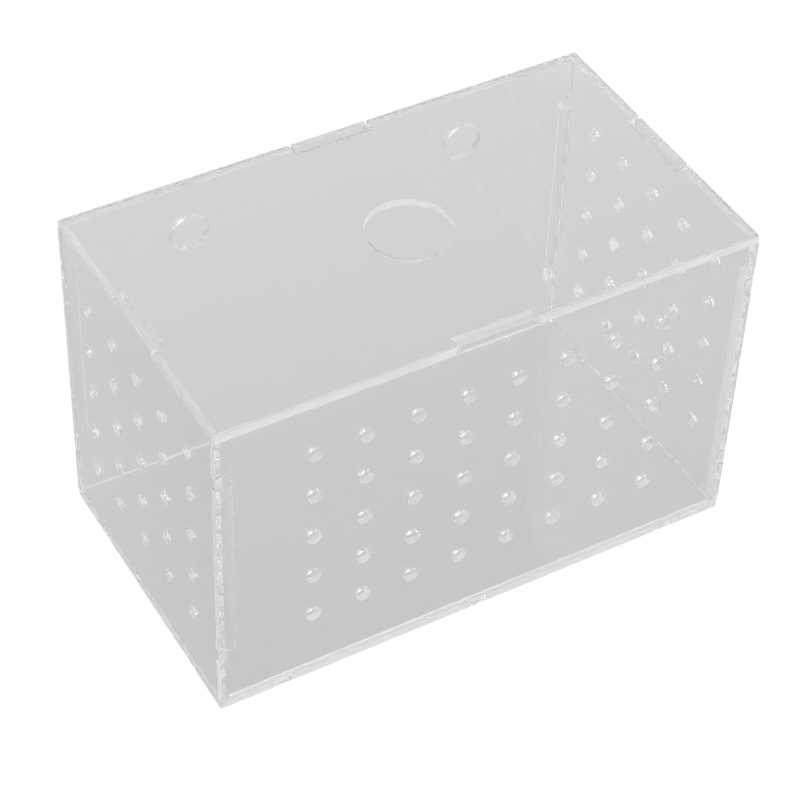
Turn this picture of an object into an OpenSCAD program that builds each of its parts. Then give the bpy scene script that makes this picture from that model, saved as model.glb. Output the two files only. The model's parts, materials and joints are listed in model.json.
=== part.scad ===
// Fish breeding box: six laser-cut clear acrylic sheets in tab-and-notch joints.
// Millimetres. Origin at the centre of the underside, +X along the length to the right,
// +Y to the back wall that hangs against the tank glass, +Z up.
// Base and walls are glued; the lid lies loose on the walls and lifts off.

/* [Box] */
// Outer length, left to right
box_l = 215; // [190:1:320]
// Outer depth, front to back
box_d = 122; // [112:1:200]
// Outer height, underside to lid top
box_h = 137; // [130:1:200]
// Acrylic sheet thickness
sheet_t = 2.8; // [2:0.1:4]
// Radius of the sheets' rounded outer corners
corner_r = 1; // [0.2:0.1:2]

/* [Lid] */
// Width of the locating tab on top of each wall
lid_tab_w = 30; // [15:1:50]
// Play between each end of a locating tab and its notch in the lid
lid_side_gap = 1; // [0.3:0.1:2]
// Play between a locating tab and the bottom of its notch in the lid
lid_back_gap = 2.2; // [0.3:0.1:4]
// Diameter of the feeding hole in the lid
feed_d = 32; // [15:1:60]

/* [Glued joints] */
// Width of a glued tab
joint_tab_w = 6; // [4:0.5:8]
// Side gap between a glued tab and its notch
joint_gap = 0.1; // [0:0.05:0.3]
// How far a glued tab ends short of the face it comes out at
joint_relief = 0.2; // [0:0.05:0.5]
// Distance of the outer tabs of the long bottom edges from the ends of the box
long_tab_inset = 25; // [18:1:40]
// Distance of the tabs of the short bottom edges from the front and the back
short_tab_inset = 25; // [18:1:40]
// Height of the lower corner tabs above the underside
low_corner_tab_z = 28; // [18:1:40]
// Distance of the upper corner tabs below the lid top
high_corner_tab_inset = 23; // [18:1:40]

/* [Flow holes] */
// Diameter of each water-flow hole
flow_d = 5.5; // [3:0.5:9]
// Distance between neighbouring flow holes
flow_pitch = 20; // [12:0.5:22]
// Height of the middle row above the underside
flow_centre_z = 71; // [64:0.5:74]
// Columns of flow holes in the front wall
front_columns = 8; // [1:1:8]
// Columns of flow holes in each end wall
end_columns = 5; // [1:1:5]
// Rows of flow holes
flow_rows = 5; // [1:1:5]

/* [Mounting holes] */
// Diameter of each mounting hole in the back wall
mount_d = 15; // [6:0.5:20]
// Distance between the two mounting holes
mount_spacing = 115; // [60:1:150]
// Distance of the mounting holes below the lid top
mount_inset = 25; // [18:1:60]

/* [Hidden] */
$fn = 64;

wall_bottom_z = sheet_t;
wall_top_z = box_h - sheet_t;
end_wall_l = box_d - 2 * sheet_t;
glued_tab_out = sheet_t - joint_relief;
glued_notch_w = joint_tab_w + 2 * joint_gap;
lid_notch_w = lid_tab_w + 2 * lid_side_gap;
lid_notch_depth = sheet_t + lid_back_gap;
acrylic = [0.86, 0.88, 0.88, 0.45];

long_tab_xs = [-box_l / 2 + long_tab_inset, 0, box_l / 2 - long_tab_inset];
short_tab_ys = [-box_d / 2 + short_tab_inset, box_d / 2 - short_tab_inset];
corner_tab_zs = [low_corner_tab_z, box_h - high_corner_tab_inset];

// What a rounded corner of radius r takes off a square corner at the origin,
// where the material lies at negative x and y
module corner_waste(r) {
    difference() {
        translate([-r, -r])
            square(2 * r);
        translate([-r, -r])
            circle(r = r);
        translate([-2 * r, -2 * r])
            square([r, 3 * r]);
        translate([-2 * r, -2 * r])
            square([3 * r, r]);
    }
}

// Rectangle centred on the origin, with rounded corners
module rounded_sheet(w, h) {
    difference() {
        square([w, h], center = true);
        for (sx = [0, 1], sy = [0, 1])
            mirror([sx, 0])
                mirror([0, sy])
                    translate([w / 2, h / 2])
                        corner_waste(corner_r);
    }
}

// Notch cut into the edge y = 0 of a sheet that lies at negative y; its mouth is rounded
module edge_notch(w, depth) {
    square([w, 2 * depth], center = true);
    for (side = [0, 1])
        mirror([side, 0])
            translate([-w / 2, 0])
                corner_waste(corner_r);
}

// The same notch in each edge of a rectangle: xs along the two long edges,
// ys along the two short ones
module edge_notches(w, h, xs, ys, notch_w, depth) {
    for (side = [0, 1]) {
        for (x = xs)
            mirror([0, side])
                translate([x, h / 2])
                    edge_notch(notch_w, depth);
        for (y = ys)
            mirror([side, 0])
                translate([w / 2, y])
                    rotate(-90)
                        edge_notch(notch_w, depth);
    }
}

// Grid of flow holes about the origin
module flow_grid(columns) {
    for (i = [0 : columns - 1], j = [0 : flow_rows - 1])
        translate([(i - (columns - 1) / 2) * flow_pitch, (j - (flow_rows - 1) / 2) * flow_pitch])
            circle(d = flow_d);
}

// Wall in its own plane: x along the wall, y the height above the underside.
// One wide tab on top locates the lid, narrow tabs below go into the base.
module wall_profile(length, bottom_tabs) {
    translate([-length / 2, wall_bottom_z])
        square([length, wall_top_z - wall_bottom_z]);
    translate([-lid_tab_w / 2, wall_top_z - sheet_t])
        square([lid_tab_w, 2 * sheet_t]);
    for (x = bottom_tabs)
        translate([x - joint_tab_w / 2, wall_bottom_z - glued_tab_out])
            square([joint_tab_w, 2 * glued_tab_out]);
}

// Long wall: the notches in its ends take the tabs of the end walls
module long_wall_profile() {
    difference() {
        wall_profile(box_l, long_tab_xs);
        for (side = [0, 1], z = corner_tab_zs)
            mirror([side, 0])
                translate([box_l / 2, z])
                    rotate(-90)
                        edge_notch(glued_notch_w, sheet_t);
    }
}

// End wall: stands between the long walls, with tabs through their notches
module end_wall_profile() {
    wall_profile(end_wall_l, short_tab_ys);
    for (z = corner_tab_zs)
        translate([0, z])
            square([end_wall_l + 2 * glued_tab_out, joint_tab_w], center = true);
}

// Stands a profile up along X, with the sheet between y and y + sheet_t
module stand_along_x(y) {
    translate([0, y + sheet_t, 0])
        rotate([90, 0, 0])
            linear_extrude(sheet_t)
                children();
}

// Stands a profile up along Y, with the sheet between x and x + sheet_t
module stand_along_y(x) {
    translate([x, 0, 0])
        rotate([90, 0, 90])
            linear_extrude(sheet_t)
                children();
}

module base_panel() {
    color(acrylic)
        linear_extrude(sheet_t)
            difference() {
                rounded_sheet(box_l, box_d);
                edge_notches(box_l, box_d, long_tab_xs, short_tab_ys, glued_notch_w, sheet_t);
            }
}

module front_wall() {
    color(acrylic)
        stand_along_x(-box_d / 2)
            difference() {
                long_wall_profile();
                translate([0, flow_centre_z])
                    flow_grid(front_columns);
            }
}

module back_wall() {
    color(acrylic)
        stand_along_x(box_d / 2 - sheet_t)
            difference() {
                long_wall_profile();
                for (side = [-1, 1])
                    translate([side * mount_spacing / 2, box_h - mount_inset])
                        circle(d = mount_d);
            }
}

module end_wall(x) {
    color(acrylic)
        stand_along_y(x)
            difference() {
                end_wall_profile();
                translate([0, flow_centre_z])
                    flow_grid(end_columns);
            }
}

module left_wall() {
    end_wall(-box_l / 2);
}

module right_wall() {
    end_wall(box_l / 2 - sheet_t);
}

module lid_panel() {
    color(acrylic)
        translate([0, 0, wall_top_z])
            linear_extrude(sheet_t)
                difference() {
                    rounded_sheet(box_l, box_d);
                    edge_notches(box_l, box_d, [0], [0], lid_notch_w, lid_notch_depth);
                    circle(d = feed_d);
                }
}

base_panel();
front_wall();
back_wall();
left_wall();
right_wall();
lid_panel();
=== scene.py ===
# %% [markdown]
# # A fish breeding box in clear acrylic
# The box is six sheets of clear acrylic, cut by a laser and put together with tabs and notches.
# Clear plastic has no colour to paint. What you see is the table through it, the room in it, and
# above all its edges, which collect the light that runs inside each sheet. So this lesson spends
# its effort on edges: their rounding, the fine lines the laser leaves, and the glue between them.

import json
import math

import bpy
import numpy as np
from mathutils import Matrix, Vector, geometry


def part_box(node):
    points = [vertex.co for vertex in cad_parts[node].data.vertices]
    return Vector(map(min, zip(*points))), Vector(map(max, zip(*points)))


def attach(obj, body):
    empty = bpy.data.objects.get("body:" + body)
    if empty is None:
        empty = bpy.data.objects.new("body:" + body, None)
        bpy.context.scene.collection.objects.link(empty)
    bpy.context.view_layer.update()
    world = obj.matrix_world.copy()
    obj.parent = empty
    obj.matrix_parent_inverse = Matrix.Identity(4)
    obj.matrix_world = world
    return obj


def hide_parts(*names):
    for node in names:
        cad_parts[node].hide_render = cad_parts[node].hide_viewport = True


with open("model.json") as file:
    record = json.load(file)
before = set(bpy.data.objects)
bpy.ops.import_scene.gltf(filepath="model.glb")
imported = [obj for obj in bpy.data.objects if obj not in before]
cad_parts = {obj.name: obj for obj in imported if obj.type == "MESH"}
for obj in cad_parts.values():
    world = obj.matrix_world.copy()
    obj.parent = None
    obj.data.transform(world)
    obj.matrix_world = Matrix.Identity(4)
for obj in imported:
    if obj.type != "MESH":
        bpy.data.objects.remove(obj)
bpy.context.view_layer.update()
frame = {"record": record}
MM = 0.001

# %% [markdown]
# ## Sizes
# The overall size and the sheet thickness come from the frame's lid, and the three large round
# holes from its mounts. The tabs, notches and flow holes are the same named sizes as in the
# construction, here in metres.

# %% Sizes from the frame
lid_low, lid_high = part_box("lid_panel")
LENGTH = round(lid_high.x - lid_low.x, 6)
DEPTH = round(lid_high.y - lid_low.y, 6)
HEIGHT = round(lid_high.z, 6)
SHEET = round(lid_high.z - lid_low.z, 6)
MOUNTS = {mount["name"]: mount for mount in frame["record"]["mounts"]}
print(f"box {LENGTH / MM:.1f} x {DEPTH / MM:.1f} x {HEIGHT / MM:.1f} mm, sheet {SHEET / MM:.1f} mm")

# %% Sizes of tabs, notches and flow holes
CORNER_R = 1 * MM
TAB_RELIEF = 0.2 * MM
NARROW_TAB = 6 * MM
NARROW_NOTCH = NARROW_TAB + 2 * 0.1 * MM
WIDE_TAB = 30 * MM
WIDE_NOTCH = WIDE_TAB + 2 * 1 * MM
WIDE_NOTCH_DEPTH = SHEET + 2.2 * MM
LONG_TAB_XS = [-LENGTH / 2 + 25 * MM, 0, LENGTH / 2 - 25 * MM]
SHORT_TAB_YS = [-DEPTH / 2 + 25 * MM, DEPTH / 2 - 25 * MM]
CORNER_TAB_ZS = [28 * MM, HEIGHT - 23 * MM]
FLOW_R = 2.75 * MM
FLOW_PITCH = 20 * MM
FLOW_CENTRE_Z = 71 * MM
FLOW_ROWS, FRONT_COLUMNS, END_COLUMNS = 5, 8, 5
FEEDING_R = MOUNTS["feeding_hole"]["dims"]["r_mm"] * MM
print("flow holes:", FLOW_ROWS * FRONT_COLUMNS, "in front,", FLOW_ROWS * END_COLUMNS, "in each end")

# %% [markdown]
# ## The camera
# A long lens from about a metre away, turned 31 degrees to the left of the box and looking down
# at 44 degrees. It is rolled by two degrees, so it is placed by three axes, not by a target.

# %% Camera
CAMERA_AZIMUTH, CAMERA_ELEVATION, CAMERA_ROLL = -31.218, 43.894, 2.35
CAMERA_DISTANCE = 1.01037
CAMERA_SIDE, CAMERA_RISE = 0.000684, 0.038381
CAMERA_LENS, SENSOR_WIDTH = 117.33, 36
CLIP_START, CLIP_END = 0.01, 50


def camera_axes(azimuth, elevation, roll):
    """Right, up and back of a camera: back points from the box to the camera, and right and up
    turn about it by the roll."""
    a, e, r = np.radians([azimuth, elevation, roll])
    back = np.array([np.sin(a) * np.cos(e), -np.cos(a) * np.cos(e), np.sin(e)])
    level = np.array([np.cos(a), np.sin(a), 0])
    upward = np.cross(back, level)
    right = level * np.cos(r) + upward * np.sin(r)
    return right, np.cross(back, right), back


def add_camera():
    """The camera at back * distance + right * side + up * rise, its axes in its matrix's columns."""
    right, up, back = camera_axes(CAMERA_AZIMUTH, CAMERA_ELEVATION, CAMERA_ROLL)
    camera = bpy.data.objects.new("camera", bpy.data.cameras.new("camera"))
    bpy.context.scene.collection.objects.link(camera)
    bpy.context.scene.camera = camera
    camera.data.lens, camera.data.sensor_width = CAMERA_LENS, SENSOR_WIDTH
    camera.data.clip_start, camera.data.clip_end = CLIP_START, CLIP_END
    place = np.eye(4)
    place[:3, :3] = np.stack([right, up, back], 1)
    place[:3, 3] = back * CAMERA_DISTANCE + right * CAMERA_SIDE + up * CAMERA_RISE
    camera.matrix_world = Matrix(place.tolist())
    return camera


camera = add_camera()
print("camera at", [round(c, 3) for c in camera.location])

# %% [markdown]
# ## Outlines
# Every sheet is a rectangle with notches cut into its sides and tabs standing out of them. An
# outline is walked anticlockwise, one side at a time. Each side is worked out in its own
# directions, along and inwards, and then turned into place, so one function serves all four.

# %% Outline of a sheet
CORNER_STEPS = 6


def arc(centre, radius, first, last, steps=CORNER_STEPS):
    """Points centre + radius * (cos t, sin t), with t from first to last in degrees."""
    t = np.radians(np.linspace(first, last, steps + 1))
    return np.array(centre) + radius * np.stack([np.cos(t), np.sin(t)], 1)


def side_points(length, corner_r, features):
    """One side from its first corner, as (along, inwards). A feature is (place, width, depth,
    mouth radius): a notch where depth is above 0, and a tab where it is below."""
    runs = [arc((corner_r, corner_r), corner_r, 180, 270) if corner_r else [(0, 0)]]
    for place, width, depth, mouth in sorted(features):
        a, b = length / 2 + place - width / 2, length / 2 + place + width / 2
        if mouth:
            runs.append(arc((a - mouth, mouth), mouth, 270, 360))
            runs.append([(a, depth), (b, depth)])
            runs.append(arc((b + mouth, mouth), mouth, 180, 270))
        else:
            runs.append([(a, 0), (a, depth), (b, depth), (b, 0)])
    return np.concatenate(runs)


def sheet_outline(low, high, corner_r, bottom=(), right=(), top=(), left=()):
    """The closed outline of a sheet from corner low to corner high, anticlockwise. Each side's
    points, corner + along * direction + inwards * (direction turned left), are put end to end.
    Features are placed from the side's middle, along +x or +y."""
    (x0, y0), (x1, y1) = low, high
    sides = [
        ((x0, y0), (1, 0), x1 - x0, 1, bottom),
        ((x1, y0), (0, 1), y1 - y0, 1, right),
        ((x1, y1), (-1, 0), x1 - x0, -1, top),
        ((x0, y1), (0, -1), y1 - y0, -1, left),
    ]
    runs = []
    for corner, direction, length, sign, features in sides:
        turned = [(sign * place, *rest) for place, *rest in features]
        along, inwards = side_points(length, corner_r, turned).T[:, :, None]
        ahead = np.array(direction)
        runs.append(np.array(corner) + along * ahead + inwards * np.array([-ahead[1], ahead[0]]))
    return np.concatenate(runs)


square = sheet_outline((0, 0), (1, 1), 0)
print("outline of a plain square:", square.tolist())

# %% Round holes
SMALL_HOLE_STEPS, LARGE_HOLE_STEPS = 36, 96


def round_hole(centre, radius):
    """A hole's rim, clockwise, so that the sheet lies on its left as it does on the outline's."""
    steps = LARGE_HOLE_STEPS if radius > FLOW_R else SMALL_HOLE_STEPS
    return arc(centre, radius, 360, 0, steps)[:-1]


def flow_holes(columns, centre_height):
    """A grid of flow holes, columns wide and FLOW_ROWS high."""
    xs = (np.arange(columns) - (columns - 1) / 2) * FLOW_PITCH
    ys = (np.arange(FLOW_ROWS) - (FLOW_ROWS - 1) / 2) * FLOW_PITCH + centre_height
    return [round_hole((x, y), FLOW_R) for x in xs for y in ys]


feeding_hole = round_hole((0, 0), FEEDING_R)
print("the feeding hole's rim has", len(feeding_hole), "points")

# %% [markdown]
# ## From outline to sheet
# A sheet is its cut edge, a narrow surface carried round each outline, and two flat faces that
# close it. The cut edge's profile is a thin line with a tiny round at each end: a laser melts the
# corner of the cut a little, and that round draws the bright line along every edge. The flat
# faces stay exactly flat, because clear plastic shows the smallest error in a face as a bend.
#
# Glued or resting sheets don't share a face here. Each cut edge stands back by a few hundredths
# of a millimetre, which leaves a film of air, as there is between real sheets.

# %% Cut edge
EDGE_ROUND = 0.13 * MM
AIR_FILM = 0.03 * MM
ROUND_STEPS = 3


def mitres(loop):
    """For each point of a closed loop, how far it moves when both its edges move inwards by 1:
    (n1 + n2) / (1 + n1 . n2), where n1 and n2 are the edges' inward normals."""
    ahead = np.roll(loop, -1, 0) - loop
    ahead = ahead / np.linalg.norm(ahead, axis=1, keepdims=True)
    normal = np.stack([-ahead[:, 1], ahead[:, 0]], 1)
    before = np.roll(normal, 1, 0)
    return (normal + before) / (1 + (normal * before).sum(1, keepdims=True))


def cut_profile(thickness, rounding):
    """The cut edge from its lower to its upper face, as (inset, height): a quarter round, which
    is r * (1 - sin t), r * (1 - cos t), a straight run and the same round upside down."""
    t = np.radians(np.linspace(0, 90, ROUND_STEPS + 1))
    low = np.stack([rounding * (1 - np.sin(t)), rounding * (1 - np.cos(t))], 1)
    high = np.stack([low[::-1, 0], thickness - low[::-1, 1]], 1)
    return np.concatenate([low, high]) + [AIR_FILM, 0]


def cut_edge(loop, profile):
    """Points P(i, j) = outline point j moved inwards by inset i, at height i, on a grid."""
    inset, height = profile[:, 0, None, None], profile[:, 1, None]
    flat = loop[None] + inset * mitres(loop)[None]
    return np.dstack([flat, np.broadcast_to(height, flat.shape[:2])])


print("cut edge in mm:", (cut_profile(SHEET, EDGE_ROUND) / MM).round(2).tolist())


# %% Quads and map of the cut edge
def quads(rows, columns, first):
    """The four corners of each grid cell. The grid closes on itself along its columns."""
    i, j = np.meshgrid(np.arange(rows - 1), np.arange(columns), indexing="ij")
    k = (j + 1) % columns
    corners = [i * columns + j, i * columns + k, (i + 1) * columns + k, (i + 1) * columns + j]
    return np.stack(corners, -1).reshape(-1, 4) + first


def edge_uv(loop, profile):
    """A map of the cut edge in metres: u is the way round the outline, v the way up it."""
    steps = np.linalg.norm(np.roll(loop, -1, 0) - loop, axis=1)
    u = np.concatenate([[0], np.cumsum(steps)])
    v = profile[:, 1]
    i, j = np.meshgrid(np.arange(len(v) - 1), np.arange(len(loop)), indexing="ij")
    corners = [(u[j], v[i]), (u[j + 1], v[i]), (u[j + 1], v[i + 1]), (u[j], v[i + 1])]
    return np.stack([np.stack(corner, -1) for corner in corners], -2).reshape(-1, 2)


print("quads of 2 rows and 3 columns:", quads(2, 3, 0).tolist())


# %% Closed plate
def flat_faces(loops, face_up):
    """Triangles over a sheet's face, inside its outline and outside its holes. Corners a, b, c
    turn left where (b - a) x (c - a) is above 0, and a face that looks down has them turn right."""
    points = [np.pad(loop, ((0, 0), (0, 1))).tolist() for loop in loops]
    triangles = np.array(geometry.tessellate_polygon(points))
    a, b, c = (np.concatenate(loops)[triangles[:, k]] for k in range(3))
    turns_left = (b - a)[:, 0] * (c - a)[:, 1] > (b - a)[:, 1] * (c - a)[:, 0]
    wrong = turns_left != face_up
    triangles[wrong] = triangles[wrong][:, ::-1]
    return triangles


def closed_plate(loops, profile):
    """A flat plate's points, its edge's quads and its flat faces' triangles: the profile is carried
    round each loop and the two ends are closed."""
    rows = len(profile)
    grids = [cut_edge(loop, profile) for loop in loops]
    starts = np.cumsum([0] + [grid.shape[0] * grid.shape[1] for grid in grids])
    points = np.concatenate([grid.reshape(-1, 3) for grid in grids])
    edge = np.concatenate([quads(rows, len(g[0]), s) for g, s in zip(grids, starts)])
    caps = []
    for row, face_up in ((0, False), (rows - 1, True)):
        index = np.concatenate([s + row * len(g[0]) + np.arange(len(g[0]))
                                for g, s in zip(grids, starts)])
        caps.append(index[flat_faces([grid[row, :, :2] for grid in grids], face_up)])
    return points, edge, np.concatenate(caps)


square_plate = closed_plate([square], cut_profile(SHEET, EDGE_ROUND))
print("points, quads and triangles of a square plate:", [len(part) for part in square_plate])

# %% Sheet mesh
FLAT, CUT, BORE, WET, DRY, HAZY = range(6)
SHARP_ANGLE = math.radians(40)


def sheet_mesh(name, loops, place, joints):
    """A closed sheet. place turns (x, y, height above the lower face) into the box's frame. Each
    joint is a test of a cut face's middle and the finish of the faces that pass it."""
    profile = cut_profile(SHEET, EDGE_ROUND)
    points, edge, caps = closed_plate(loops, profile)
    mesh = bpy.data.meshes.new(name)
    mesh.from_pydata(place(points).tolist(), [], edge.tolist() + caps.tolist())
    # The cut faces come first, and the outline's come before those of the holes.
    finish = np.full(len(mesh.polygons), FLAT)
    finish[:len(edge)] = BORE
    finish[:len(loops[0]) * (len(profile) - 1)] = CUT
    for is_there, kind in joints:
        finish[:len(edge)][is_there(points[edge].mean(1))] = kind
    mesh.polygons.foreach_set("material_index", finish)
    mesh.set_sharp_from_angle(angle=SHARP_ANGLE)
    mesh.polygons.foreach_set("use_smooth", finish != FLAT)
    uv = np.concatenate([edge_uv(loop, profile) for loop in loops] + [points[caps.ravel(), :2]])
    mesh.uv_layers.new(name="cut").data.foreach_set("uv", uv.ravel())
    print(name, len(mesh.polygons), "faces")
    return mesh


# %% [markdown]
# ## Clear acrylic, six finishes
# The flat faces keep the polish of the cast sheet. The cut edges and the walls of the holes are
# glossy too, with a fine haze and with lines across the sheet, one for each pulse of the laser.
# An edge that is glued to another sheet is clear where the cement has wetted it, and frosty where
# it has stayed dry. The base's edges and the wall of the feeding hole are handled most, and are
# hazier than the other cut faces.
#
# All six are the same plastic, a Principled shader with the refractive index of acrylic. The
# polished faces let all light through. The cut ones let most of it through and scatter the rest
# in white, by a lower transmission: their clear share. Lamps reach through the plastic by a plain
# Transparent shader, which is seen by shadow rays alone, because a path tracer hardly finds a
# lamp through a bent ray.

# %% Shader helpers
ACRYLIC_INDEX = 1.49
ACRYLIC_TINT = (0.99, 0.99, 0.99, 1)
LAMP_TINT = (0.93, 0.93, 0.93, 1)


def add_node(tree, kind, inputs=None, **settings):
    """A node with its settings, and with each input set to a value or linked to a socket."""
    node = tree.nodes.new(kind)
    for name, value in settings.items():
        setattr(node, name, value)
    for name, value in (inputs or {}).items():
        if isinstance(value, bpy.types.NodeSocket):
            tree.links.new(value, node.inputs[name])
        else:
            node.inputs[name].default_value = value
    return node


def math_node(tree, operation, *values):
    """The result of a sum, product or the like of values and sockets."""
    return add_node(tree, "ShaderNodeMath", dict(enumerate(values)), operation=operation).outputs[0]


def new_group(name, inputs, outputs):
    """An empty node group with named sockets, and its input and output nodes."""
    tree = bpy.data.node_groups.new(name, "ShaderNodeTree")
    for socket, kind in inputs.items():
        tree.interface.new_socket(socket, in_out="INPUT", socket_type=kind)
    for socket, kind in outputs.items():
        tree.interface.new_socket(socket, in_out="OUTPUT", socket_type=kind)
    return tree, tree.nodes.new("NodeGroupInput").outputs, tree.nodes.new("NodeGroupOutput")


# %% Laser lines
LINE_STRETCH = (1, 0.05, 1)
SLOW_SHARE = 0.08


def laser_lines_group():
    """Height of the lines that a laser leaves: noise that changes quickly round the outline and
    hardly at all across the sheet, which is u * lines and v * 0.05 * lines of the cut map. The
    change of roughness is (slower noise - 0.5) * unevenness."""
    tree, given, result = new_group(
        "laser_lines",
        {"Lines per metre": "NodeSocketFloat", "Unevenness": "NodeSocketFloat"},
        {"Height": "NodeSocketFloat", "Roughness change": "NodeSocketFloat"})
    cut = add_node(tree, "ShaderNodeUVMap", uv_map="cut")
    stretch = add_node(tree, "ShaderNodeVectorMath",
                       {0: cut.outputs[0], 1: LINE_STRETCH}, operation="MULTIPLY")
    scaled = add_node(tree, "ShaderNodeVectorMath",
                      {0: stretch.outputs[0], "Scale": given[0]}, operation="SCALE")
    fine = add_node(tree, "ShaderNodeTexNoise", {"Vector": scaled.outputs[0], "Scale": 1.0,
                                                 "Detail": 2.0, "Roughness": 0.6})
    slow = add_node(tree, "ShaderNodeTexNoise", {"Vector": scaled.outputs[0],
                                                 "Scale": SLOW_SHARE, "Detail": 1.0})
    uneven = math_node(tree, "MULTIPLY", math_node(tree, "SUBTRACT", slow.outputs[0], 0.5), given[1])
    tree.links.new(fine.outputs[0], result.inputs[0])
    tree.links.new(uneven, result.inputs[1])
    return tree


laser_lines = laser_lines_group()
print(laser_lines.name, "has", len(laser_lines.nodes), "nodes")

# %% Acrylic materials
LINE_DEPTH = 0.1 * MM


def acrylic(name, roughness, clear=1.0):
    """A material of acrylic, with its node tree and its Principled shader: clear is the share of
    light that goes through it, and the rest is scattered."""
    material = bpy.data.materials.new(name)
    material.use_nodes = True
    tree = material.node_tree
    tree.nodes.clear()
    plastic = add_node(tree, "ShaderNodeBsdfPrincipled", {
        "Base Color": ACRYLIC_TINT, "Roughness": roughness, "IOR": ACRYLIC_INDEX,
        "Transmission Weight": clear})
    lamps = add_node(tree, "ShaderNodeBsdfTransparent", {"Color": LAMP_TINT})
    seen_by = add_node(tree, "ShaderNodeLightPath")
    either = add_node(tree, "ShaderNodeMixShader", {
        0: seen_by.outputs["Is Shadow Ray"], 1: plastic.outputs[0], 2: lamps.outputs[0]})
    add_node(tree, "ShaderNodeOutputMaterial", {"Surface": either.outputs[0]})
    return material, tree, plastic


def cut_acrylic(name, roughness, clear, strength=0.05, unevenness=0.05, per_metre=2500.0):
    """Acrylic with the laser's lines: their height goes to the normal by a bump of that strength,
    and their change of roughness is added to the roughness."""
    material, tree, plastic = acrylic(name, roughness, clear)
    lines = add_node(tree, "ShaderNodeGroup",
                     {"Lines per metre": per_metre, "Unevenness": unevenness},
                     node_tree=laser_lines)
    bump = add_node(tree, "ShaderNodeBump", {"Height": lines.outputs["Height"],
                                             "Strength": strength, "Distance": LINE_DEPTH})
    rough = math_node(tree, "ADD", roughness, lines.outputs["Roughness change"])
    tree.links.new(rough, plastic.inputs["Roughness"])
    tree.links.new(bump.outputs[0], plastic.inputs["Normal"])
    return material


# %% The six finishes
FINISHES = {
    FLAT: acrylic("polished_face", 0.0)[0],
    CUT: cut_acrylic("laser_cut_edge", 0.35, clear=0.85),
    BORE: cut_acrylic("laser_cut_bore", 0.3, clear=0.95, strength=0.15, per_metre=1500.0),
    WET: cut_acrylic("wetted_edge", 0.05, clear=0.93),
    DRY: cut_acrylic("dry_edge", 0.35, clear=0.5, unevenness=0.1),
    HAZY: cut_acrylic("hazy_edge", 0.35, clear=0.72),
}
print("finishes:", [finish.name for finish in FINISHES.values()])

# %% [markdown]
# ## The six sheets
# Each sheet is drawn lying flat, then stood in its place: the base and the lid as they are, the
# long walls turned up along X, the end walls turned up along Y. Each rides on the same body as
# the construction's sheet that it stands for.


# %% Placing a sheet
def lying(z):
    """(x, y, h) goes to (x, y, z + h)."""
    return lambda p: p + [0, 0, z]


def along_x(outer_y):
    """(x, z, h) goes to (x, outer_y - h, z)."""
    return lambda p: np.stack([p[:, 0], outer_y - p[:, 2], p[:, 1]], 1)


def along_y(inner_x):
    """(y, z, h) goes to (inner_x + h, y, z)."""
    return lambda p: np.stack([inner_x + p[:, 2], p[:, 0], p[:, 1]], 1)


def add_sheet(name, node, body, loops, place, joints):
    """One dressed sheet in the scene, standing for the construction's sheet node on body."""
    mesh = sheet_mesh(name, loops, place, joints)
    piece = bpy.data.objects.new(name, mesh)
    bpy.context.scene.collection.objects.link(piece)
    for kind in sorted(FINISHES):
        mesh.materials.append(FINISHES[kind])
    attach(piece, body)
    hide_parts(node)


# %% Base
long_notches = [(x, NARROW_NOTCH, SHEET, CORNER_R) for x in LONG_TAB_XS]
short_notches = [(y, NARROW_NOTCH, SHEET, CORNER_R) for y in SHORT_TAB_YS]
plan_low, plan_high = (-LENGTH / 2, -DEPTH / 2), (LENGTH / 2, DEPTH / 2)
base_outline = sheet_outline(plan_low, plan_high, CORNER_R, bottom=long_notches,
                             right=short_notches, top=long_notches, left=short_notches)


def all_round(middle):
    """Every cut face."""
    return np.full(len(middle), True)


add_sheet("base_sheet", "base_panel", "box", [base_outline], lying(0), [(all_round, HAZY)])

# %% Long walls
WALL_BOTTOM, WALL_TOP = SHEET, HEIGHT - SHEET
GLUED_TAB = -(SHEET - TAB_RELIEF)
locating_tab = [(0, WIDE_TAB, -SHEET, 0)]
corner_notches = [(z - HEIGHT / 2, NARROW_NOTCH, SHEET, CORNER_R) for z in CORNER_TAB_ZS]
long_outline = sheet_outline((-LENGTH / 2, WALL_BOTTOM), (LENGTH / 2, WALL_TOP), 0,
                             bottom=[(x, NARROW_TAB, GLUED_TAB, 0) for x in LONG_TAB_XS],
                             right=corner_notches, top=locating_tab, left=corner_notches)


def on_base(middle):
    """Cut faces that stand on the base."""
    return np.abs(middle[:, 1] - WALL_BOTTOM) < EDGE_ROUND


front_holes = flow_holes(FRONT_COLUMNS, FLOW_CENTRE_Z)
hanging_holes = [round_hole((m["pos_m"][0], m["pos_m"][2]), m["dims"]["r_mm"] * MM)
                 for m in (MOUNTS["left_hanging_hole"], MOUNTS["right_hanging_hole"])]
add_sheet("front_sheet", "front_wall", "box", [long_outline, *front_holes],
          along_x(-DEPTH / 2 + SHEET), [(on_base, DRY)])
add_sheet("back_sheet", "back_wall", "box", [long_outline, *hanging_holes],
          along_x(DEPTH / 2), [(on_base, DRY)])

# %% End walls
END_HALF = DEPTH / 2 - SHEET
corner_tabs = [(z - HEIGHT / 2, NARROW_TAB, GLUED_TAB, 0) for z in CORNER_TAB_ZS]
end_outline = sheet_outline((-END_HALF, WALL_BOTTOM), (END_HALF, WALL_TOP), 0,
                            bottom=[(y, NARROW_TAB, GLUED_TAB, 0) for y in SHORT_TAB_YS],
                            right=corner_tabs, top=locating_tab, left=corner_tabs)


def on_long_walls(middle):
    """Cut faces that stand against the long walls."""
    return np.abs(np.abs(middle[:, 0]) - END_HALF) < EDGE_ROUND


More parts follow.
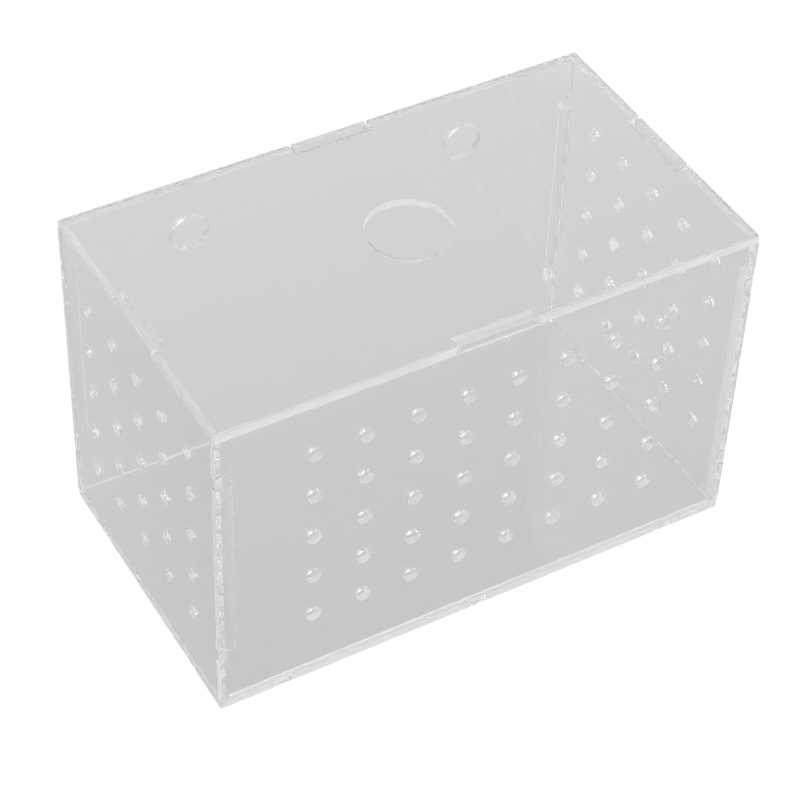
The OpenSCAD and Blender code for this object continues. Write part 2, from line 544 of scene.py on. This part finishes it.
end_holes = flow_holes(END_COLUMNS, FLOW_CENTRE_Z)
for name, node, inner_x in (("left_sheet", "left_wall", -LENGTH / 2),
                            ("right_sheet", "right_wall", LENGTH / 2 - SHEET)):
    add_sheet(name, node, "box", [end_outline, *end_holes], along_y(inner_x),
              [(on_base, DRY), (on_long_walls, WET)])

# %% Lid
lid_notch = [(0, WIDE_NOTCH, WIDE_NOTCH_DEPTH, CORNER_R)]
lid_outline = sheet_outline(plan_low, plan_high, CORNER_R, lid_notch, lid_notch, lid_notch,
                            lid_notch)


def in_feeding_hole(middle):
    """Cut faces of the feeding hole's wall."""
    return np.hypot(middle[:, 0], middle[:, 1]) < FEEDING_R + SHEET


add_sheet("lid_sheet", "lid_panel", "lid", [lid_outline, feeding_hole], lying(WALL_TOP),
          [(in_feeding_hole, HAZY)])

# %% [markdown]
# ## Cement
# The sheets are joined with a solvent cement, as thin as water, that runs along the joint by
# itself. Beside an upright joint, on the long walls, it leaves a faint band with a dotted rim,
# where it crept under the protective paper, and above the base it dries in a bead along each
# wall. At the front right it has run further and dried paler. On the back wall the rim and one
# more stripe have dried thicker, and at the right cement has welled up in lumps beside the tabs.
#
# These marks could be painted on the sheets, but each is made as a film of its own, a few
# hundredths of a millimetre thick and with a ragged outline, so that the sheets' faces stay
# exactly flat. The thicker marks are films of a second layer, just over the first.

# %% Ragged films
FILM, FILM_GAP = 0.02 * MM, 0.005 * MM
RAGGED_STEP, FEWEST_STEPS = 0.4 * MM, 3
chance = np.random.default_rng(7)


def ragged_block(inner, outer, low, high, rag):
    """The outline of a block from inner to outer, across, and from low to high, up: straight sides
    plus steps of chance, up to rag to either side, smoothed over three points."""
    steps = max(FEWEST_STEPS, int((high - low) / RAGGED_STEP))
    up = np.linspace(low, high, steps)
    shifts = chance.uniform(-rag, rag, (2, steps + 2))
    shifts = (shifts[:, :-2] + shifts[:, 1:-1] + shifts[:, 2:]) / 3
    right = np.stack([outer + shifts[0], up], 1)
    left = np.stack([inner + shifts[1], up], 1)[::-1]
    return np.concatenate([right, left])


def turned(block):
    """A block with across and up changed over, still anticlockwise."""
    return block[::-1, ::-1]


def film(block, place):
    """A film's points and faces: the block's outline, carried up by the film's thickness."""
    points, edge, caps = closed_plate([block], np.array([[0, 0], [0, FILM]]))
    return place(points), edge.tolist() + caps.tolist()


print(f"films {FILM / MM:.3f} mm thick, {FILM_GAP / MM:.3f} mm off what they lie on")


# %% Places of the films
def on_long_wall(side):
    """The place of a film on the inner face of the front wall, -1, or of the back wall, 1."""
    face = side * (DEPTH / 2 - SHEET)
    return along_x(face - FILM_GAP if side > 0 else face + FILM_GAP + FILM)


def over_back_film():
    """The place of a film of the second layer, over one on the back wall."""
    return along_x(DEPTH / 2 - SHEET - 2 * FILM_GAP - FILM)


def on_end_wall(end):
    """The place of a film on the inner face of the left wall, -1, or of the right wall, 1."""
    face = end * (LENGTH / 2 - SHEET)
    return along_y(face - FILM_GAP - FILM if end > 0 else face + FILM_GAP)


def beside_joint(place, end, inner, outer, low, high, rag):
    """A film on a long wall, from inner, measured from the inside corner at that end into the
    box, to outer, measured from there into the joint."""
    corner = LENGTH / 2 - SHEET
    across = sorted([end * (corner - inner), end * (corner + outer)])
    return film(ragged_block(*across, low, high, rag), place)


# %% One piece of many films
def add_cement(name, films, finish):
    """One piece of many films."""
    points, faces = [], []
    for film_points, film_faces in films:
        start = sum(len(run) for run in points)
        points.append(film_points)
        faces += [[index + start for index in face] for face in film_faces]
    mesh = bpy.data.meshes.new(name)
    mesh.from_pydata(np.concatenate(points).tolist(), [], faces)
    mesh.materials.append(finish)
    piece = bpy.data.objects.new(name, mesh)
    bpy.context.scene.collection.objects.link(piece)
    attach(piece, "box")
    print(name, len(films), "films,", len(faces), "faces")


# %% Bands, rims and lumps beside the upright joints
BAND_LOW, BAND_HIGH = 28 * MM, 117 * MM
BETWEEN_TABS = (32.5 * MM, 109.5 * MM)
RIM_AT, RIM_WIDTH = 3.7 * MM, 0.5 * MM
CORNER_GAP = 0.1 * MM
STRIPE_INNER, STRIPE_OUTER = 2.1 * MM, -1.7 * MM
LONG_RUN = (3.1 * MM, 1.2 * MM, 6 * MM, 124 * MM)
DOT_LENGTHS, DOT_GAPS = (0.4, 2.5), (0.3, 2)
LUMP_PLACES, LUMP_WIDTH = (0.2 * MM, 2.3 * MM, 3.6 * MM), 1.2 * MM
LUMP_REACH = (1, 4)
FINE_RAG, PLAIN_RAG, LUMP_RAG = 0.1 * MM, 0.2 * MM, 0.5 * MM


def dotted_rim(place, end):
    """Films in a column, from the band's lower end to its upper, with lengths and gaps of
    chance."""
    dots, z = [], BAND_LOW
    while z < BAND_HIGH:
        length = chance.uniform(*DOT_LENGTHS) * MM
        dots.append(beside_joint(place, end, RIM_AT + RIM_WIDTH, -RIM_AT, z, z + length, FINE_RAG))
        z += length + chance.uniform(*DOT_GAPS) * MM
    return dots


def tab_lumps(place, end):
    """Films side by side at each tab's height, reaching chance distances below and above it."""
    lumps = []
    for z in CORNER_TAB_ZS:
        for outer in LUMP_PLACES:
            low, high = z - chance.uniform(*LUMP_REACH) * MM, z + chance.uniform(*LUMP_REACH) * MM
            inner = outer + LUMP_WIDTH
            lumps.append(beside_joint(place, end, inner, -outer, low, high, LUMP_RAG))
    return lumps


def joint_marks(side, end):
    """The band, the pale films and the bright films beside one upright joint."""
    wall = on_long_wall(side)
    if (side, end) == (-1, 1):
        return [], [beside_joint(wall, end, *LONG_RUN, PLAIN_RAG)], []
    band = [beside_joint(wall, end, RIM_AT, -CORNER_GAP, BAND_LOW, BAND_HIGH, FINE_RAG)]
    rim = dotted_rim(wall, end)
    if side < 0:
        return band, rim, []
    over = over_back_film()
    stripe = [beside_joint(over, end, STRIPE_INNER, STRIPE_OUTER, *BETWEEN_TABS, FINE_RAG)]
    rim += [beside_joint(over, end, RIM_AT + RIM_WIDTH, -RIM_AT, *BETWEEN_TABS, FINE_RAG)]
    return band, stripe, rim + (tab_lumps(over, end) if end > 0 else [])


# %% Beads along the base, and all the cement
BEAD_LOW, BEAD_HIGH = SHEET + 0.6 * MM, SHEET + 1.9 * MM
BEAD_SHORT = 4 * MM
CEMENT_ROUGHNESS = 0.3


def base_bead(place, half):
    """A film along a wall's foot, from -half to half but BEAD_SHORT less at each end."""
    along = (-half + BEAD_SHORT, half - BEAD_SHORT)
    return film(turned(ragged_block(BEAD_LOW, BEAD_HIGH, *along, PLAIN_RAG)), place)


cement_film = acrylic("cement_film", CEMENT_ROUGHNESS, clear=0.95)[0]
cement_dry = acrylic("cement_dry", CEMENT_ROUGHNESS, clear=0.82)[0]
cement_bead = acrylic("cement_bead", CEMENT_ROUGHNESS, clear=0.62)[0]
bands, blocks, beads = [], [], []
for side in (-1, 1):
    for end in (-1, 1):
        band, pale, bright = joint_marks(side, end)
        bands += band
        blocks += pale
        beads += bright
    beads.append(base_bead(on_long_wall(side), LENGTH / 2))
    blocks.append(base_bead(on_end_wall(side), DEPTH / 2))
add_cement("cement_bands", bands, cement_film)
add_cement("cement_blocks", blocks, cement_dry)
add_cement("cement_beads", beads, cement_bead)

# %% [markdown]
# ## Floor, room and lamps
# Clear plastic is lit by what surrounds it. The floor and the room look white to the camera, and
# a pale grey to the plastic, so that the box reads as grey glass on white. Seen through or in the
# plastic, the floor's grey carries a painted shade: it is darkest under the box and at its front
# and left, and it opens up to a bright grey further out. The room is a slope of greys from the
# horizon up, with one soft glow high at the back left, like a window, that puts a bright crescent
# in each round hole. Two soft lamps give the edges something bright to catch.


# %% Levels
def seen_levels(tree, to_camera, to_plastic):
    """to_camera for rays from the camera, to_plastic for rays that plastic mirrors or bends,
    and 0 for all others."""
    seen_by = add_node(tree, "ShaderNodeLightPath").outputs
    bent = math_node(tree, "MAXIMUM", seen_by["Is Glossy Ray"], seen_by["Is Transmission Ray"])
    direct = math_node(tree, "MULTIPLY", seen_by["Is Camera Ray"], to_camera)
    return math_node(tree, "ADD", direct, math_node(tree, "MULTIPLY", bent, to_plastic))


def slope(tree, value, low, high):
    """A straight slope through the points low and high, level beyond them."""
    return add_node(tree, "ShaderNodeMapRange", {0: value, 1: low[0], 2: high[0],
                                                 3: low[1], 4: high[1]}).outputs[0]


# %% Floor
FLOOR_SIZE, FLOOR_DROP = 8, 2 * AIR_FILM
FLOOR_COLOUR = (0.9, 0.9, 0.9, 1)
FLOOR_TO_CAMERA = 1.05
# Painted shade on the floor as the plastic sees it: darker towards the front, at the left and near
# the box.
FLOOR_NEAR, FLOOR_FAR = (-0.3, 0.48), (0.4, 0.73)
SIDE_DIM, SIDE_FULL = (-0.2, 0.65), (-0.1, 1)
SHADE_MIDDLE, SHADE_END, OPEN_START = (0.05, 0, 0), (0.24, 0), (0.34, 1)
OPEN_FLOOR = 0.9
GLOW_SHARES = (0.85, 0.9)


def add_floor():
    """A square of floor, just under the box. Its grey, a painted shade, is the slope along Y, giving
    way to the open floor's as the distance from the shade's middle grows, times the slope along X."""
    mesh = bpy.data.meshes.new("floor")
    half = FLOOR_SIZE / 2
    mesh.from_pydata([(-half, -half, 0), (half, -half, 0), (half, half, 0), (-half, half, 0)],
                     [], [(0, 1, 2, 3)])
    floor = bpy.data.objects.new("floor", mesh)
    floor.location.z = -FLOOR_DROP
    bpy.context.scene.collection.objects.link(floor)
    material = bpy.data.materials.new("pale_floor")
    material.use_nodes = True
    tree = material.node_tree
    tree.nodes.clear()
    matt = add_node(tree, "ShaderNodeBsdfDiffuse", {"Color": FLOOR_COLOUR})
    place = add_node(tree, "ShaderNodeTexCoord").outputs["Object"]
    along = add_node(tree, "ShaderNodeSeparateXYZ", {0: place}).outputs
    away = add_node(tree, "ShaderNodeVectorMath", {0: place, 1: SHADE_MIDDLE}, operation="DISTANCE")
    shade = add_node(tree, "ShaderNodeMix", {
        "Factor": slope(tree, away.outputs["Value"], SHADE_END, OPEN_START),
        "A": slope(tree, along["Y"], FLOOR_NEAR, FLOOR_FAR), "B": OPEN_FLOOR}).outputs[0]
    # The grey is painted shade: the open floor's level, darkened near the box, towards the front and
    # at the left.
    grey = math_node(tree, "MULTIPLY", shade, slope(tree, along["X"], SIDE_DIM, SIDE_FULL))
    glow = add_node(tree, "ShaderNodeEmission",
                    {"Strength": seen_levels(tree, FLOOR_TO_CAMERA, grey)})
    share = seen_levels(tree, *GLOW_SHARES)
    both = add_node(tree, "ShaderNodeMixShader", {0: share, 1: matt.outputs[0], 2: glow.outputs[0]})
    add_node(tree, "ShaderNodeOutputMaterial", {"Surface": both.outputs[0]})
    mesh.materials.append(material)


add_floor()
print("floor", FLOOR_SIZE, "m wide")

# %% Room
HIGH_LIGHT, HIGH_LIGHT_FOCUS, HIGH_LIGHT_LEVEL = (-0.373, 0.616, 0.694), 30.0, 2.2
ROOM_LEVELS = ((0, 0.65), (0.12, 1.1), (0.45, 1.1), (0.7, 0.8), (1, 0.7))


def add_world():
    """The room: a ramp of greys by height plus level * (facing the high light) ^ focus. The camera
    sees white."""
    world = bpy.data.worlds.new("room")
    bpy.context.scene.world = world
    world.use_nodes = True
    tree = world.node_tree
    tree.nodes.clear()
    direction = add_node(tree, "ShaderNodeTexCoord").outputs["Generated"]
    height = add_node(tree, "ShaderNodeSeparateXYZ", {0: direction}).outputs["Z"]
    ramp = add_node(tree, "ShaderNodeValToRGB", {0: height})
    for place, _ in ROOM_LEVELS[1:-1]:
        ramp.color_ramp.elements.new(place)
    for stop, (place, level) in zip(ramp.color_ramp.elements, ROOM_LEVELS):
        stop.position, stop.color = place, (level, level, level, 1)
    facing = add_node(tree, "ShaderNodeVectorMath", {0: direction, 1: HIGH_LIGHT},
                      operation="DOT_PRODUCT").outputs["Value"]
    focused = math_node(tree, "POWER", math_node(tree, "MAXIMUM", facing, 0.0), HIGH_LIGHT_FOCUS)
    room = math_node(tree, "MULTIPLY_ADD", focused, HIGH_LIGHT_LEVEL, ramp.outputs[0])
    direct = add_node(tree, "ShaderNodeLightPath").outputs["Is Camera Ray"]
    level = add_node(tree, "ShaderNodeMix", {"Factor": direct, "A": room, "B": 1.0})
    back = add_node(tree, "ShaderNodeBackground", {"Strength": level.outputs[0]})
    add_node(tree, "ShaderNodeOutputWorld", {"Surface": back.outputs[0]})


add_world()
print("room of", len(ROOM_LEVELS), "greys")

# %% [markdown]
# Light that enters a cut edge runs along inside the sheet, mirrored from face to face dozens of
# times before it gets out. Blender gives up on a ray after 4 mirrored bounces unless it is told
# otherwise, and would paint every edge black.

# %% Bounces
BOUNCES = 64
cycles = bpy.context.scene.cycles
cycles.max_bounces = cycles.glossy_bounces = cycles.transmission_bounces = BOUNCES
print("bounces:", BOUNCES)


# %% Lamps
BOX_MIDDLE = (0, 0, 0.07)


def add_lamp(name, place, size, power):
    """A soft square lamp at place, facing the middle of the box."""
    lamp = bpy.data.objects.new(name, bpy.data.lights.new(name, "AREA"))
    lamp.data.size, lamp.data.energy = size, power
    lamp.location = place
    lamp.rotation_euler = (Vector(BOX_MIDDLE) - Vector(place)).to_track_quat("-Z", "Y").to_euler()
    bpy.context.scene.collection.objects.link(lamp)
    print(name, "of", power, "W")


add_lamp("key_lamp", place=(-0.45, -0.95, 0.45), size=0.5, power=4.3)
add_lamp("side_lamp", place=(1.0, -0.3, 1.1), size=0.5, power=1)

# %% [markdown]
# ## Finish
# The view transform is Standard, so a colour is shown as it is written.

# %% View
bpy.context.scene.view_settings.view_transform = "Standard"
